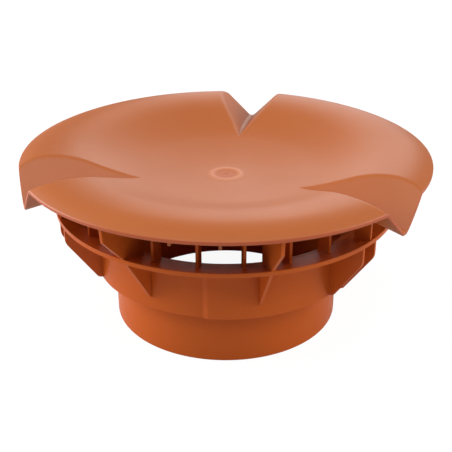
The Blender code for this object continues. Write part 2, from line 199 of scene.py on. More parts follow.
class BaseSizes(bpy.types.PropertyGroup):
    """Sizes of the base moulding."""
    collar_radius: length("Collar radius", "Outer radius of the collar", 0.080)
    collar_height: length("Collar height", "Height of the shoulder over the collar's end", 0.040)
    wall: length("Wall", "Thickness of the collar's and body's wall", 0.0025)
    body_radius: length("Body radius", "Outer radius of the body", 0.093)
    body_top: length("Body top", "Where the body runs into the flange", 0.0765)
    flange_radius: length("Flange radius", "Outer radius of the flange", 0.1183)
    flange_top: length("Flange top", "Height of the flange's upper edge", 0.0875)
    flange_thickness: length("Flange thickness", "Thickness of the flange", 0.003)
    flange_angle: angle("Flange angle", "How steeply the flange falls towards the bore", 15.4)
    lip_radius: length("Lip radius", "Where the flange bends down into the bore", 0.098)
    lip_bend: length("Lip bend", "Radius of that bend", 0.0075)
    step_depth: length("Step depth", "Depth of the step in the body", 0.0018)
    step_angle: angle("Step angle", "Width of the step's face", 1.9)
    step_ramp: angle("Step ramp", "How far round the body a step's ramp starts", 45.0)
    slat_pitch: angle("Slat pitch", "Angle between two louvre slats", 15.0)
    slat_thickness: length("Slat thickness", "Thickness of a louvre slat", 0.0019)
    slat_outer: length("Slat outer radius", "Outer edge of a louvre slat", 0.108)
    fin_angle: angle("Fin angle", "Bearing of a tall fin from its sector's middle", 22.5)
    fin_thickness: length("Fin thickness", "Thickness of a tall fin", 0.0022)
    fin_foot: length("Fin foot", "Height at which a fin leaves the body", 0.0505)
    fin_tip_radius: length("Fin tip radius", "Radius of a fin's outer corner", 0.1353)
    fin_tip_height: length("Fin tip height", "Height of a fin's outer corner", 0.1056)
    keel_thickness: length("Keel thickness", "Thickness of the plate below a valley", 0.0022)
    keel_inner: length("Keel inner radius", "Inner edge of that plate", 0.105)
    bracket_angle: angle("Bracket angle", "Bearing of a bracket from its valley", 3.5)
    bracket_shoulder: length("Bracket shoulder", "Height at which its outer edge turns inwards", 0.0717)
    bracket_knee_radius: length("Bracket knee radius", "Radius at which its sloping edge ends", 0.0966)
    bracket_knee_height: length("Bracket knee height", "Height at which its sloping edge ends", 0.0423)
    bracket_thickness: length("Bracket thickness", "Thickness of a bracket", 0.0022)
    plate_edge: length("Plate edge", "Rounding along the edges of every plate", 0.0004)


class PlasticFinish(bpy.types.PropertyGroup):
    """Colours and gloss of the plastic, and the painted shade on the lid's rim edge."""
    lid_light: colour("Lid terracotta", "Colour of the lid's plastic", (0.447, 0.117, 0.024))
    lid_deep: colour("Deep lid terracotta", "Colour of the lid's densest pigment", (0.412, 0.102, 0.019))
    base_light: colour("Base terracotta", "Colour of the base's plastic", (0.540, 0.109, 0.018))
    base_deep: colour("Deep base terracotta", "Colour of the base's densest pigment", (0.495, 0.091, 0.012))
    pale: colour("Pale terracotta", "Colour round the moulding gate", (0.580, 0.200, 0.085))
    gate: colour("Gate disc", "Colour inside the ring round the moulding gate", (0.430, 0.090, 0.010))
    # Painted shade: a darker colour on the lid's rounded rim edge, standing in for a dark reflection there
    rim_edge: colour("Rim edge", "Colour of the lid's outer edge", (0.430, 0.072, 0.012))
    rim_shade_band: length("Rim band", "Radius beyond which the lid shows its edge colour", 0.1391)
    base_specular: number("Base specular", "How strongly the base reflects; 0.5 is plain plastic", 0.12)
    lid_specular: number("Lid specular", "How strongly the lid reflects; 0.5 is plain plastic", 0.55)
    lid_roughness: number("Lid roughness", "Roughness of the lid's satin surface", 0.44)
    base_roughness: number("Base roughness", "Roughness of the base's smoother surface", 0.24)
    grain_size: length("Grain size", "Size of the fine moulded grain", 0.0006)
    grain_depth: length("Grain depth", "Depth of that grain", 0.00002)


class StageSettings(bpy.types.PropertyGroup):
    """Floor, light and camera."""
    floor_radius: length("Floor radius", "Radius of the pale floor", 6.0)
    floor_colour: colour("Floor colour", "Colour of the pale floor", (0.62, 0.62, 0.62))
    sky: number("Sky", "Brightness of the soft surrounding light", 0.25)
    top_light: number("Top light", "Power of the softbox overhead, in watts", 14.0)
    left_light: number("Left light", "Power of the softbox at the left, in watts", 31.0)
    right_light: number("Right light", "Power of the softbox at the right, in watts", 19.0)
    back_light: number("Back light", "Power of the softbox behind, in watts", 5.2)
    camera_turn: angle("Camera turn", "Bearing of the camera", 9.1)
    camera_rise: angle("Camera rise", "Camera's height over the horizon", 25.93)
    camera_distance: length("Camera distance", "Distance from camera to target", 0.58788)
    camera_aim: length("Camera aim", "Height of the point it looks at", 0.06069)
    camera_lens: number("Lens", "Focal length in millimetres", 65.0)


# Meshes from grids

class Surface:
    """Points and faces of one closed piece, gathered part by part, with every part facing outwards."""

    def __init__(self):
        self.points = []
        self.faces = []
        self.count = 0

    def add(self, points, faces):
        """Add one closed part: its points, and its faces as arrays of point numbers with equal corners.

        The volume that the faces enclose is the sum of a . (b x c) / 6 over their triangles. Where it
        comes out negative, the part is inside out and its faces are turned round.
        """
        volume = 0.0
        for group in faces:
            first = points[group[:, 0]]
            for corner in range(1, group.shape[1] - 1):
                second, third = points[group[:, corner]], points[group[:, corner + 1]]
                volume += np.sum(first * np.cross(second, third)) / 6.0
        turned = [group[:, ::-1] for group in faces] if volume < 0.0 else faces
        self.points.append(points)
        self.faces += [group + self.count for group in turned]
        self.count += len(points)

    def mesh(self, name):
        """One mesh of all the parts, shaded smooth with normals weighted by the area of the faces.

        A point's normal is the sum of its faces' area vectors, so that a large flat face stays flat up to
        its rounded edge.
        """
        points = np.concatenate(self.points)
        corners = np.concatenate([group.ravel() for group in self.faces])
        sizes = np.concatenate([np.full(len(group), group.shape[1]) for group in self.faces])
        starts = np.concatenate([[0], np.cumsum(sizes)[:-1]])
        normals = np.zeros_like(points)
        for group in self.faces:
            area = np.zeros((len(group), 3))
            first = points[group[:, 0]]
            for corner in range(1, group.shape[1] - 1):
                area += np.cross(points[group[:, corner]] - first, points[group[:, corner + 1]] - first)
            for corner in range(group.shape[1]):
                np.add.at(normals, group[:, corner], area)
        normals /= np.maximum(np.linalg.norm(normals, axis=1, keepdims=True), LEAST_LENGTH)
        mesh = bpy.data.meshes.new(name)
        mesh.vertices.add(len(points))
        mesh.vertices.foreach_set("co", points.astype(np.float32).ravel())
        mesh.loops.add(len(corners))
        mesh.loops.foreach_set("vertex_index", corners.astype(np.int32))
        mesh.polygons.add(len(sizes))
        mesh.polygons.foreach_set("loop_start", starts.astype(np.int32))
        mesh.update(calc_edges=True)
        mesh.validate()
        mesh.shade_smooth()
        mesh.normals_split_custom_set_from_vertices(normals.astype(np.float32))
        return mesh


def grid_faces(rows, columns, rows_closed):
    """Four-cornered faces between neighbouring rows and columns of a grid whose columns run round.

    Where rows_closed is true the last row joins the first one too.
    """
    row = np.arange(rows if rows_closed else rows - 1)[:, None]
    column = np.arange(columns)[None, :]
    next_row = (row + 1) % rows
    next_column = (column + 1) % columns
    corners = [row * columns + column, next_row * columns + column,
               next_row * columns + next_column, row * columns + next_column]
    return np.stack(corners, axis=-1).reshape(-1, 4)


def fan_faces(middle, first, columns):
    """Triangles from one middle point to a ring of points that starts at number first."""
    column = np.arange(columns)
    return np.stack([np.full(columns, middle), first + column, first + (column + 1) % columns], axis=-1)


def around(radius, bearing, height):
    """Points at a radius, a bearing from -Y towards +X, and a height."""
    radius, bearing, height = np.broadcast_arrays(radius, bearing, height)
    return np.stack([radius * np.sin(bearing), -radius * np.cos(bearing), height], axis=-1)


def spread(*stretches):
    """Numbers in one row: each stretch is (from, to, count), and leaves out its own end."""
    return np.concatenate([np.linspace(a, b, n, endpoint=False) for a, b, n in stretches])


def rounded(corners, radii, steps):
    """A closed line through corners, each rounded by an arc of its own radius.

    The arc starts and ends r * tan(turn / 2) from its corner, where turn is the angle by which the line
    bends there, and it is drawn by turning the spoke from its centre evenly from one end to the other.
    """
    corners = np.asarray(corners, float)
    radii = np.asarray(radii, float)[:, None]
    into = corners - np.roll(corners, 1, axis=0)
    away = np.roll(corners, -1, axis=0) - corners
    into /= np.linalg.norm(into, axis=1, keepdims=True)
    away /= np.linalg.norm(away, axis=1, keepdims=True)
    turn = np.arccos(np.clip(np.sum(into * away, axis=1, keepdims=True), -1.0, 1.0))
    reach = radii * np.tan(0.5 * turn)
    inner = away - into
    inner /= np.linalg.norm(inner, axis=1, keepdims=True)
    centre = corners + inner * radii / np.cos(0.5 * turn)
    start = corners - into * reach - centre
    end = corners + away * reach - centre
    share = np.linspace(0.0, 1.0, steps + 1)[None, :, None]
    turn = turn[:, :, None]
    arc = (np.sin((1.0 - share) * turn) * start[:, None, :] + np.sin(share * turn) * end[:, None, :])
    return (centre[:, None, :] + arc / np.sin(turn)).reshape(-1, 2)


def plate(outline, bearing, thickness, edge):
    """A radial plate with rounded edges: points and faces of one closed part.

    The outline of radii and heights is carried through a half-round section: at an angle a of the edge it
    is drawn in by edge * (1 - cos a) and lies edge * sin a out of the plane where the edge starts. The two
    flat sides are one face each.
    """
    into = outline - np.roll(outline, 1, axis=0)
    away = np.roll(outline, -1, axis=0) - outline
    into /= np.linalg.norm(into, axis=1, keepdims=True)
    away /= np.linalg.norm(away, axis=1, keepdims=True)
    area = np.sum(outline[:, 0] * np.roll(outline[:, 1], -1) - outline[:, 1] * np.roll(outline[:, 0], -1))
    left = np.stack([-(into + away)[:, 1], (into + away)[:, 0]], axis=-1) * np.sign(area)
    inner = left * 2.0 / np.maximum(np.sum(left * left, axis=1, keepdims=True), LEAST_MITRE)
    bend = np.linspace(0.0, 0.5 * math.pi, PLATE_EDGE_POINTS)
    drawn = np.concatenate([1.0 - np.cos(bend[::-1]), 1.0 - np.cos(bend)]) * edge
    half = 0.5 * thickness - edge
    side = np.concatenate([-half - edge * np.sin(bend[::-1]), half + edge * np.sin(bend)])
    flat = outline[None, :, :] + inner[None, :, :] * drawn[:, None, None]
    radius, height = flat[..., 0], flat[..., 1]
    side = np.broadcast_to(side[:, None], radius.shape)
    points = np.stack([radius * math.sin(bearing) + side * math.cos(bearing),
                       -radius * math.cos(bearing) + side * math.sin(bearing), height], axis=-1)
    rows, columns = radius.shape
    last = (rows - 1) * columns
    sides = [np.arange(columns)[None, :], last + np.arange(columns)[None, ::-1]]
    return points.reshape(-1, 3), [grid_faces(rows, columns, False), *sides]


# Shader nodes

class Value:
    """A number that varies over a surface. Arithmetic on it adds Math nodes."""

    def __init__(self, nodes, socket):
        self.nodes = nodes
        self.socket = socket

    def math(self, operation, *others):
        return self.nodes.add("ShaderNodeMath", {"operation": operation}, dict(enumerate(others)))

    def __add__(self, other):
        return self.math("ADD", self, other)

    def __radd__(self, other):
        return self.math("ADD", other, self)

    def __sub__(self, other):
        return self.math("SUBTRACT", self, other)

    def __rsub__(self, other):
        return self.math("SUBTRACT", other, self)

    def __mul__(self, other):
        return self.math("MULTIPLY", self, other)

    def __rmul__(self, other):
        return self.math("MULTIPLY", other, self)

    def __truediv__(self, other):
        return self.math("DIVIDE", self, other)

    def __abs__(self):
        return self.math("ABSOLUTE", self)

    def clamped(self):
        return self.math("MINIMUM", self.math("MAXIMUM", self, 0.0), 1.0)


class Nodes:
    """The node tree of one material."""

    def __init__(self, material):
        material.use_nodes = True
        self.tree = material.node_tree
        self.shader = self.tree.nodes["Principled BSDF"]

    def add(self, kind, settings, inputs, output=0):
        """Add a node: its settings first, then the values or links of its sockets. Returns one output."""
        node = self.tree.nodes.new(kind)
        for name, value in settings.items():
            setattr(node, name, value)
        for name, value in inputs.items():
            self.put(node, name, value)
        return Value(self, node.outputs[output])

    def put(self, node, name, value):
        """Set one socket of a node to a value, or link it."""
        if isinstance(value, Value):
            self.tree.links.new(value.socket, node.inputs[name])
        else:
            node.inputs[name].default_value = value

    def noise(self, place, scale, detail):
        """Soft random value from 0 to 1 over a place, with so many features to a metre."""
        return self.add("ShaderNodeTexNoise", {}, {"Vector": place, "Scale": scale, "Detail": detail}, "Fac")

    def blend(self, share, first, second):
        """Colour between two others."""
        return self.add("ShaderNodeMix", {"data_type": "RGBA"}, {0: share, 6: first, 7: second}, 2)


def moulded_plastic(name, finish, lid, light, deep, roughness, specular):
    """Terracotta plastic with cloudy pigment, patchy gloss and a fine moulded grain.

    By distance from the axis it is deeper inside the lid's middle ring, paler on and round the ring, and
    darker at the lid's rim, where painted shade stands in for a dark reflection on the rounded edge. The base
    lies between these distances, and shows none of them.
    """
    material = bpy.data.materials.new(name)
    nodes = Nodes(material)
    place = nodes.add("ShaderNodeTexCoord", {}, {}, "Object")
    cloud = nodes.noise(place, CLOUD_SCALE, CLOUD_DETAIL)
    fleck = nodes.noise(place, FLECK_SCALE, FLECK_DETAIL)
    grain = nodes.noise(place, 1.0 / finish.grain_size, GRAIN_DETAIL)
    density = (cloud * CLOUD_DENSITY + fleck * FLECK_DENSITY - DENSITY_DROP).clamped()
    body = nodes.blend(density, (*light, 1.0), (*deep, 1.0))
    flat = nodes.add("ShaderNodeVectorMath", {"operation": "MULTIPLY"}, {0: place, 1: (1.0, 1.0, 0.0)})
    from_axis = nodes.add("ShaderNodeVectorMath", {"operation": "LENGTH"}, {0: flat}, "Value")
    ring = (1.0 - abs(from_axis - lid.ring_radius) / RING_BLUR).clamped()
    middle = (1.0 - from_axis / BLUSH_REACH).clamped()
    blush = (ring * RING_BLUSH + middle * BLUSH_STRENGTH * cloud).clamped()
    disc = ((1.0 - from_axis / (DISC_SHARE * lid.ring_radius)) * DISC_CRISPNESS).clamped() * DISC_STRENGTH
    # Painted shade: the lid's rounded rim edge turns darker, standing in for a dark reflection
    rim = ((from_axis - finish.rim_shade_band) / RIM_SHADE_BLUR).clamped() * RIM_SHADE_STRENGTH
    body = nodes.blend(blush, body, (*finish.pale, 1.0))
    body = nodes.blend(disc, body, (*finish.gate, 1.0))
    nodes.put(nodes.shader, "Base Color", nodes.blend(rim, body, (*finish.rim_edge, 1.0)))
    dullness = roughness - DULLNESS_DROP + cloud * CLOUD_DULLNESS + fleck * FLECK_DULLNESS
    nodes.put(nodes.shader, "Roughness", dullness)
    relief = {"Strength": GRAIN_STRENGTH, "Distance": finish.grain_depth, "Height": grain}
    nodes.put(nodes.shader, "Normal", nodes.add("ShaderNodeBump", {}, relief))
    nodes.shader.inputs["IOR"].default_value = PLASTIC_IOR
    nodes.shader.inputs["Specular IOR Level"].default_value = specular
    nodes.shader.inputs["Metallic"].default_value = 0.0
    return material


# Lid

def dish_height(lid, radius):
    """Height of the lid's upper side away from the valleys.

    From the crest it bends down to the rim on one arc and down inwards on another, h = crest - R +
    sqrt(R^2 - d^2) at a distance d from the crest. Then it runs straight at the bank's angle to the
    crease, and inside that it is the parabola h = crease - depth * (1 - (r / crease radius)^2). The
    crease is the soft higher one of bank and bowl.
    """
    tangent = math.tan(lid.bank_angle)
    top_radius = lid.crest_radius - lid.bend_in * math.sin(lid.bank_angle)
    top_height = lid.crest_height - lid.bend_in * (1.0 - math.cos(lid.bank_angle))
    crease_height = top_height - (top_radius - lid.crease_radius) * tangent
    bend = np.where(radius > lid.crest_radius, lid.bend_out, lid.bend_in)
    away = np.clip(radius - lid.crest_radius, top_radius - lid.crest_radius, BEND_LIMIT * lid.bend_out)
    crest = lid.crest_height - bend + np.sqrt(bend ** 2 - away ** 2)
    bank = top_height - (top_radius - radius) * tangent
    bowl = crease_height - lid.bowl_depth * (1.0 - (radius / lid.crease_radius) ** 2)
    inside = -soft_lower(-bank, -bowl, lid.crease_softness)
    return np.where(radius >= top_radius, crest, inside)


def soft_lower(first, second, softness):
    """The lower of two heights, with the corner between them rounded over a height of softness."""
    share = np.clip(0.5 + 0.5 * (second - first) / softness, 0.0, 1.0)
    return second * (1.0 - share) + first * share - softness * share * (1.0 - share)


def soft_ramp(distance, softness):
    """Nought below nought and the distance above it, as (d + sqrt(d^2 + s^2)) / 2."""
    return 0.5 * (distance + np.sqrt(distance ** 2 + softness ** 2))


def floor_line(lid, along):
    """Height of the point of the V at a distance along a valley: it starts level with the dish."""
    past = along - lid.valley_start
    level = dish_height(lid, np.float64(lid.valley_start))
    return level - lid.valley_fall * past - lid.valley_sag * past * past


def floor_growth(lid, along):
    """Half width of a valley's flat floor, and its height over the valley's line, at a distance along it.

    The width grows evenly from the pointed tip, and the height from -lift to lift.
    """
    share = np.clip((along - lid.valley_start) / lid.valley_growth, 0.0, 1.0)
    return lid.valley_floor * share, lid.valley_lift * (2.0 * share - 1.0)


def lid_top(lid, radius, turn):
    """Height of the lid's upper side at a radius and an angle from the nearest valley's axis.

    It is the soft lower one of the dish and the valley. The valley has a flat floor and walls at
    45 degrees: h = floor + ramp(|aside| - half width).
    """
    along, aside = radius * np.cos(turn), np.abs(radius * np.sin(turn))
    half, lift = floor_growth(lid, along)
    valley = floor_line(lid, along) + lift + soft_ramp(aside - half, lid.valley_crisp)
    return soft_lower(dish_height(lid, radius), valley, edge_softness(lid, radius, lid.valley_edge))


def lid_under(lid, radius, turn):
    """Height of the lid's underside: dish and valley each moved down by the wall along their normals.

    A surface of slope s moves down by wall * sqrt(1 + s^2), and the floor below the walls is wider by
    wall * tan(22.5 degrees) at each side.
    """
    rise = dish_height(lid, radius + SLOPE_PROBE) - dish_height(lid, np.abs(radius - SLOPE_PROBE))
    slope = rise / (2.0 * SLOPE_PROBE)
    dish = dish_height(lid, radius) - lid.wall * np.sqrt(1.0 + slope ** 2)
    along, aside = radius * np.cos(turn), np.abs(radius * np.sin(turn))
    half, lift = floor_growth(lid, along)
    wider = half + lid.wall * math.tan(math.pi / 8.0)
    valley = floor_line(lid, along) + lift - lid.wall + soft_ramp(aside - wider, 2.0 * lid.valley_crisp)
    return soft_lower(dish, valley, edge_softness(lid, radius, UNDERSIDE_EDGE_SHARE * lid.valley_edge))


def edge_softness(lid, radius, softness):
    """Rounding of a valley's edge, which fades in over the first stretch of the valley."""
    return softness * np.clip((radius - lid.valley_start) / lid.valley_fade, LEAST_FADE, 1.0)


def lid_turns(lid, radius):
    """Angles from a valley's axis of the lid's columns over half a sector, one row for each radius.

    The columns crowd at the edge of the valley's floor and at its upper edge, which is found by halving.
    """
    radius = np.maximum(radius, LEAST_RADIUS)[:, None]
    near, far = np.zeros_like(radius), np.full_like(radius, 0.5 * SECTOR)
    for _ in range(HALVINGS):
        middle = 0.5 * (near + far)
        along = radius * np.cos(middle)
        half, lift = floor_growth(lid, along)
        wall = floor_line(lid, along) + lift + radius * np.sin(middle) - half
        inside = wall < dish_height(lid, radius)
        near, far = np.where(inside, middle, near), np.where(inside, far, middle)
    half = np.maximum(floor_growth(lid, radius)[0], LEAST_FLOOR_SHARE * lid.valley_floor)
    half = np.arcsin(np.clip(half / radius, 0.0, math.sin(WIDEST_FLOOR_ANGLE)))
    least = np.arcsin(np.clip(LEAST_VALLEY_REACH / radius, 0.0, math.sin(WIDEST_VALLEY_ANGLE)))
    edge = np.maximum(near, least)
    crisp = COLUMN_CROWDING * half
    soft = np.minimum(SOFT_REACH / radius, COLUMN_CROWDING * (edge - half))
    knots = [np.zeros_like(half), half - crisp, half + crisp, edge - soft, edge + soft, edge + 3.0 * soft,
             np.full_like(half, 0.5 * SECTOR)]
    parts = [a + (b - a) * np.linspace(0.0, 1.0, n, endpoint=False)[None, :]
             for a, b, n in zip(knots, knots[1:], LID_COLUMNS)]
    return np.concatenate([*parts, knots[-1]], axis=1)


def lid_columns(lid, radius):
    """Bearing, and angle from the nearest valley's axis, of every column once round the lid."""
    half = lid_turns(lid, radius)
    turn = np.concatenate([half[:, :-1], half[:, :0:-1]], axis=1)
    ahead = np.concatenate([half[:, :-1], SECTOR - half[:, :0:-1]], axis=1)
    bearing = np.concatenate([ahead + (index + 0.5) * SECTOR for index in range(SECTORS)], axis=1)
    return bearing, np.tile(turn, (1, SECTORS))


def centre_marks(lid, radius):
    """Height that the raised ring, the gate's dimple and the nib in it add: three bell curves."""
    ring = lid.ring_height * np.exp(-((radius - lid.ring_radius) / lid.ring_width) ** 2)
    gate = lid.gate_depth * np.exp(-(radius / lid.gate_radius) ** 4)
    nib = NIB_HEIGHT_SHARE * lid.gate_depth * np.exp(-(radius / (NIB_RADIUS_SHARE * lid.gate_radius)) ** 2)
    return ring - gate + nib


def lid_shell(lid):
    """The dished disc: upper side from the middle out, round the rim, and back along the underside.

    A rim edge is rounded by an arc on top of the surface: r = R - e * (1 - sin a), h = surface -
    e * (1 - cos a), for a from 0 to 90 degrees.
    """
    rim = lid.rim_radius
    top_radius = spread(*LID_TOP_ROWS, (LID_TOP_ROWS[-1][1], rim - lid.rim_edge, LID_RIM_ROWS))
    low_radius = spread((rim - lid.rim_foot, LID_LOW_ROWS[0][0], LID_LOW_FIRST_ROWS), *LID_LOW_ROWS)
    bend = np.linspace(0.0, 0.5 * math.pi, RIM_ARC_POINTS)
    edge_radius = rim - lid.rim_edge * (1.0 - np.sin(bend))
    foot_radius = rim - lid.rim_foot * (1.0 - np.sin(bend[::-1]))
    radius = np.concatenate([top_radius, edge_radius, foot_radius, low_radius[1:]])
    bearing, turn = lid_columns(lid, radius)
    radius = radius[:, None]
    top, under = lid_top(lid, radius, turn), lid_under(lid, radius, turn)
    top += centre_marks(lid, radius)
    edge_row = len(top_radius)
    foot_row = edge_row + len(bend)
    low_row = foot_row + len(bend)
    top[edge_row:foot_row] -= lid.rim_edge * (1.0 - np.cos(bend))[:, None]
    under[foot_row:low_row] += lid.rim_foot * (1.0 - np.cos(bend[::-1]))[:, None]
    height = np.concatenate([top[:foot_row], under[foot_row:]])
    points = around(radius, bearing, height)
    rows, columns = height.shape
    middles = np.array([[0.0, 0.0, height[0].mean()], [0.0, 0.0, height[-1].mean()]])
    points = np.concatenate([points.reshape(-1, 3), middles])
    count = rows * columns
    top_fan, low_fan = fan_faces(count, 0, columns), fan_faces(count + 1, count - columns, columns)
    return points, [grid_faces(rows, columns, False)[:, ::-1], top_fan[:, ::-1], low_fan]


def tooth_outline(lid):
    """A short tooth below the lid, with its root inside the lid's wall."""
    top = float(dish_height(lid, np.float64(lid.tooth_inner))) - 0.5 * lid.wall
    foot = top - 0.5 * lid.wall - lid.tooth_drop
    corners = [(lid.tooth_inner, foot), (lid.tooth_outer, foot),
               (lid.tooth_outer, top), (lid.tooth_inner, top)]
    radii = [BLUNT_CORNER, BLUNT_CORNER, BURIED_ROUNDING, BURIED_ROUNDING]
    return rounded(corners, radii, TOOTH_ARC_STEPS)


# Base

def flange_height(base, radius):
    """Height of the flange's upper side, which falls towards the bore."""
    return base.flange_top - (base.flange_radius - radius) * math.tan(base.flange_angle)


def base_section(base):
    """Half section of collar, body and flange: down the outer side, and up the bore.

    Each corner is a radius, a height and a rounding.
    """
    bore = base.body_radius - base.wall
    inner = base.collar_radius - base.wall
    neck = base.body_radius + 2.0 * base.wall
    lip = flange_height(base, base.lip_radius)
    corners = [(base.flange_radius, base.flange_top, FLANGE_CORNER),
               (base.flange_radius, base.flange_top - base.flange_thickness, FLANGE_CORNER),
               (neck, flange_height(base, neck) - base.flange_thickness, 0.0030),
               (base.body_radius, base.body_top, 0.0030),
               (base.body_radius, base.collar_height, 0.0007),
               (base.collar_radius, base.collar_height, 0.0006),
               (base.collar_radius, 0.0, 0.0008),
               (inner, 0.0, 0.0005),
               (inner, base.collar_height + base.wall, 0.0010),
               (bore, base.collar_height + base.wall, 0.0010),
               (bore, lip, base.lip_bend - 0.0004),
               (base.lip_radius, lip, 0.0010)]
    corners = np.array(corners)
    return rounded(corners[:, :2], corners[:, 2], SHELL_ARC_STEPS)


def step_inset(base, bearing):
    """How far the body lies inside its full radius: a long ramp inwards, then a step back out.

    With t the angle past a sector's middle it is depth * (1 + t / ramp) before it and depth *
    (1 - t / step) after it, never below nought.
    """
    turn = (bearing + 0.5 * SECTOR) % SECTOR - 0.5 * SECTOR
    ramp = np.clip(1.0 + turn / base.step_ramp, 0.0, 1.0)
    step = np.clip(1.0 - turn / base.step_angle, 0.0, 1.0)
    return base.step_depth * np.minimum(ramp, step)


def base_shell(base):
    """The section turned once round the axis, with the body's wall drawn in along the ramps.

    The draw fades in over the shoulder's width and out where the body runs into the flange.
    """
    section = base_section(base)
    turns = np.radians(spread(STEP_COLUMNS, SECTOR_COLUMNS))
    bearing = np.concatenate([turns + index * SECTOR for index in range(SECTORS)])
    radius, height = section[:, :1], section[:, 1:]
    inner = base.collar_radius + SHOULDER_CLEAR
    wide = np.clip((radius - inner) / (base.body_radius - base.wall - inner), 0.0, 1.0)
    low = np.clip((base.body_top + 0.5 * NECK_FADE - height) / NECK_FADE, 0.0, 1.0)
    high = height > base.collar_height - SHOULDER_SLACK
    inset = step_inset(base, bearing[None, :]) * wide * low * high
    points = around(radius - inset, bearing[None, :], height)
    rows, columns = points.shape[:2]
    return points.reshape(-1, 3), [grid_faces(rows, columns, True)]


def lid_line(lid, inner, outer, turn, count):
    """Points just below the lid, from the outer radius in to the inner one."""
    radius = np.linspace(outer, inner, count + 1)
    return list(zip(radius, lid_under(lid, radius, turn) - LID_GAP))


def slat_outline(base, lid, turn):
    """A louvre slat: it stands on the inner part of the flange and ends just below the lid."""
    inner, outer = base.lip_radius, base.slat_outer
    sunk = 0.5 * base.flange_thickness
    line = lid_line(lid, inner, outer, turn, 2)
    corners = [(inner, flange_height(base, inner) - sunk), (outer, flange_height(base, outer) - sunk), *line]
    radii = [BURIED_ROUNDING, BURIED_ROUNDING, PLATE_CORNER, SLAT_BEND, PLATE_CORNER]
    return rounded(corners, radii, SMALL_ARC_STEPS)


def fin_outline(base, lid):
    """A tall fin: a sloping edge from the body to the flange's rim, out below the lid, and in again.

    Each corner is a radius, a height and a rounding.
    """
    turn = 0.5 * SECTOR - base.fin_angle
    sunk = 0.5 * base.flange_thickness
    root = base.body_radius - BITE
    top = lid_line(lid, base.lip_radius, base.fin_tip_radius + BITE, turn, 6)
    corners = np.array([(root, base.fin_foot - 2.0 * BITE, BURIED_ROUNDING),
                        (base.body_radius + BITE, base.fin_foot, 0.0010),
                        (base.flange_radius, base.flange_top, 0.0020),
                        (base.fin_tip_radius, base.fin_tip_height, 0.0025),
                        *[(radius, height, PLATE_CORNER) for radius, height in top],
                        (base.lip_radius, flange_height(base, base.lip_radius) - sunk, BURIED_ROUNDING),
                        (root, base.body_top - BITE, BURIED_ROUNDING)])
    return rounded(corners[:, :2], corners[:, 2], SMALL_ARC_STEPS)


def keel_outline(base, lid):
    """The plate that stands on the flange below a valley's floor."""
    inner, sunk = base.keel_inner, 0.5 * base.flange_thickness
    outer = base.flange_radius - sunk
    heights = lid_under(lid, np.array([outer, inner]), 0.0) - LID_GAP
    corners = [(inner, flange_height(base, inner) - sunk), (outer, base.flange_top - sunk),
               (outer, heights[0]), (inner, heights[1])]
    radii = [BURIED_ROUNDING, BURIED_ROUNDING, BLUNT_CORNER, PLATE_CORNER]
    return rounded(corners, radii, SMALL_ARC_STEPS)


def bracket_outline(base):
    """A bracket below the flange: upright outside, rounded at its shoulder, then in to the body's edge.

    Each corner is a radius, a height and a rounding.
    """
    sunk = 0.5 * base.flange_thickness
    outer = base.flange_radius - sunk
    root = base.body_radius - BITE
    neck = base.body_radius + 2.0 * base.wall
    low = base.collar_height + 0.5 * base.wall
    corners = np.array([(outer, base.flange_top - sunk, BURIED_ROUNDING),
                        (outer, base.bracket_shoulder, 0.0090),
                        (base.bracket_knee_radius, base.bracket_knee_height, 0.0030),
                        (base.body_radius + 0.0015, low, 0.0020),
                        (root, low, BURIED_ROUNDING),
                        (root, base.body_top - BITE, BURIED_ROUNDING),
                        (neck, flange_height(base, neck) - sunk, BURIED_ROUNDING)])
    return rounded(corners[:, :2], corners[:, 2], BRACKET_ARC_STEPS)


# Operators

def add_piece(name, surface, material):
    """Make an object of a finished surface, give it its material, and let it ride on the body."""
    old = bpy.data.objects.get(name)
    if old is not None:
        bpy.data.objects.remove(old, do_unlink=True)
    piece = bpy.data.objects.new(name, surface.mesh(name))
    bpy.context.scene.collection.objects.link(piece)
    piece.data.materials.append(material)
    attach(piece, "root")
    return piece


class VENTCAP_OT_lid(bpy.types.Operator):
    """Build the dished lid with its three rain valleys and six teeth"""
    bl_idname = "ventcap.lid"
    bl_label = "Build the lid"

    def execute(self, context):
        lid, finish = context.scene.ventcap_lid, context.scene.ventcap_finish
        surface = Surface()
        surface.add(*lid_shell(lid))
        for index in range(SECTORS):
            for side in (-1, 1):
                bearing = index * SECTOR + side * lid.tooth_angle
                surface.add(*plate(tooth_outline(lid), bearing, lid.tooth_thickness, TOOTH_EDGE))
        plastic = moulded_plastic("lid_terracotta", finish, lid, finish.lid_light, finish.lid_deep,
                                  finish.lid_roughness, finish.lid_specular)
        piece = add_piece("cap_lid_moulding", surface, plastic)
        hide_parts("cap_lid")
        return {"FINISHED"}


class VENTCAP_OT_base(bpy.types.Operator):
    """Build the base: collar, body and flange in one, with slats, fins, keels and brackets"""
    bl_idname = "ventcap.base"
    bl_label = "Build the base"

    def execute(self, context):
        base, lid = context.scene.ventcap_base, context.scene.ventcap_lid
        finish = context.scene.ventcap_finish
        edge = base.plate_edge
        surface = Surface()
        surface.add(*base_shell(base))
        fin, keel, bracket = fin_outline(base, lid), keel_outline(base, lid), bracket_outline(base)
        for index in range(SECTORS):
            middle, valley = index * SECTOR, (index + 0.5) * SECTOR
            for step in range(-SLATS_EACH_SIDE, SLATS_EACH_SIDE + 1):
                turn = step * base.slat_pitch
                outline = slat_outline(base, lid, 0.5 * SECTOR - abs(turn))
                surface.add(*plate(outline, middle + turn, base.slat_thickness, edge))
            surface.add(*plate(keel, valley, base.keel_thickness, edge))
            for side in (-1, 1):
                surface.add(*plate(fin, middle + side * base.fin_angle, base.fin_thickness, edge))
                surface.add(*plate(bracket, valley + side * base.bracket_angle, base.bracket_thickness, edge))
        plastic = moulded_plastic("base_terracotta", finish, lid, finish.base_light, finish.base_deep,
                                  finish.base_roughness, finish.base_specular)
        piece = add_piece("vent_base_moulding", surface, plastic)
        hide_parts("collar", "vent_base")
        return {"FINISHED"}


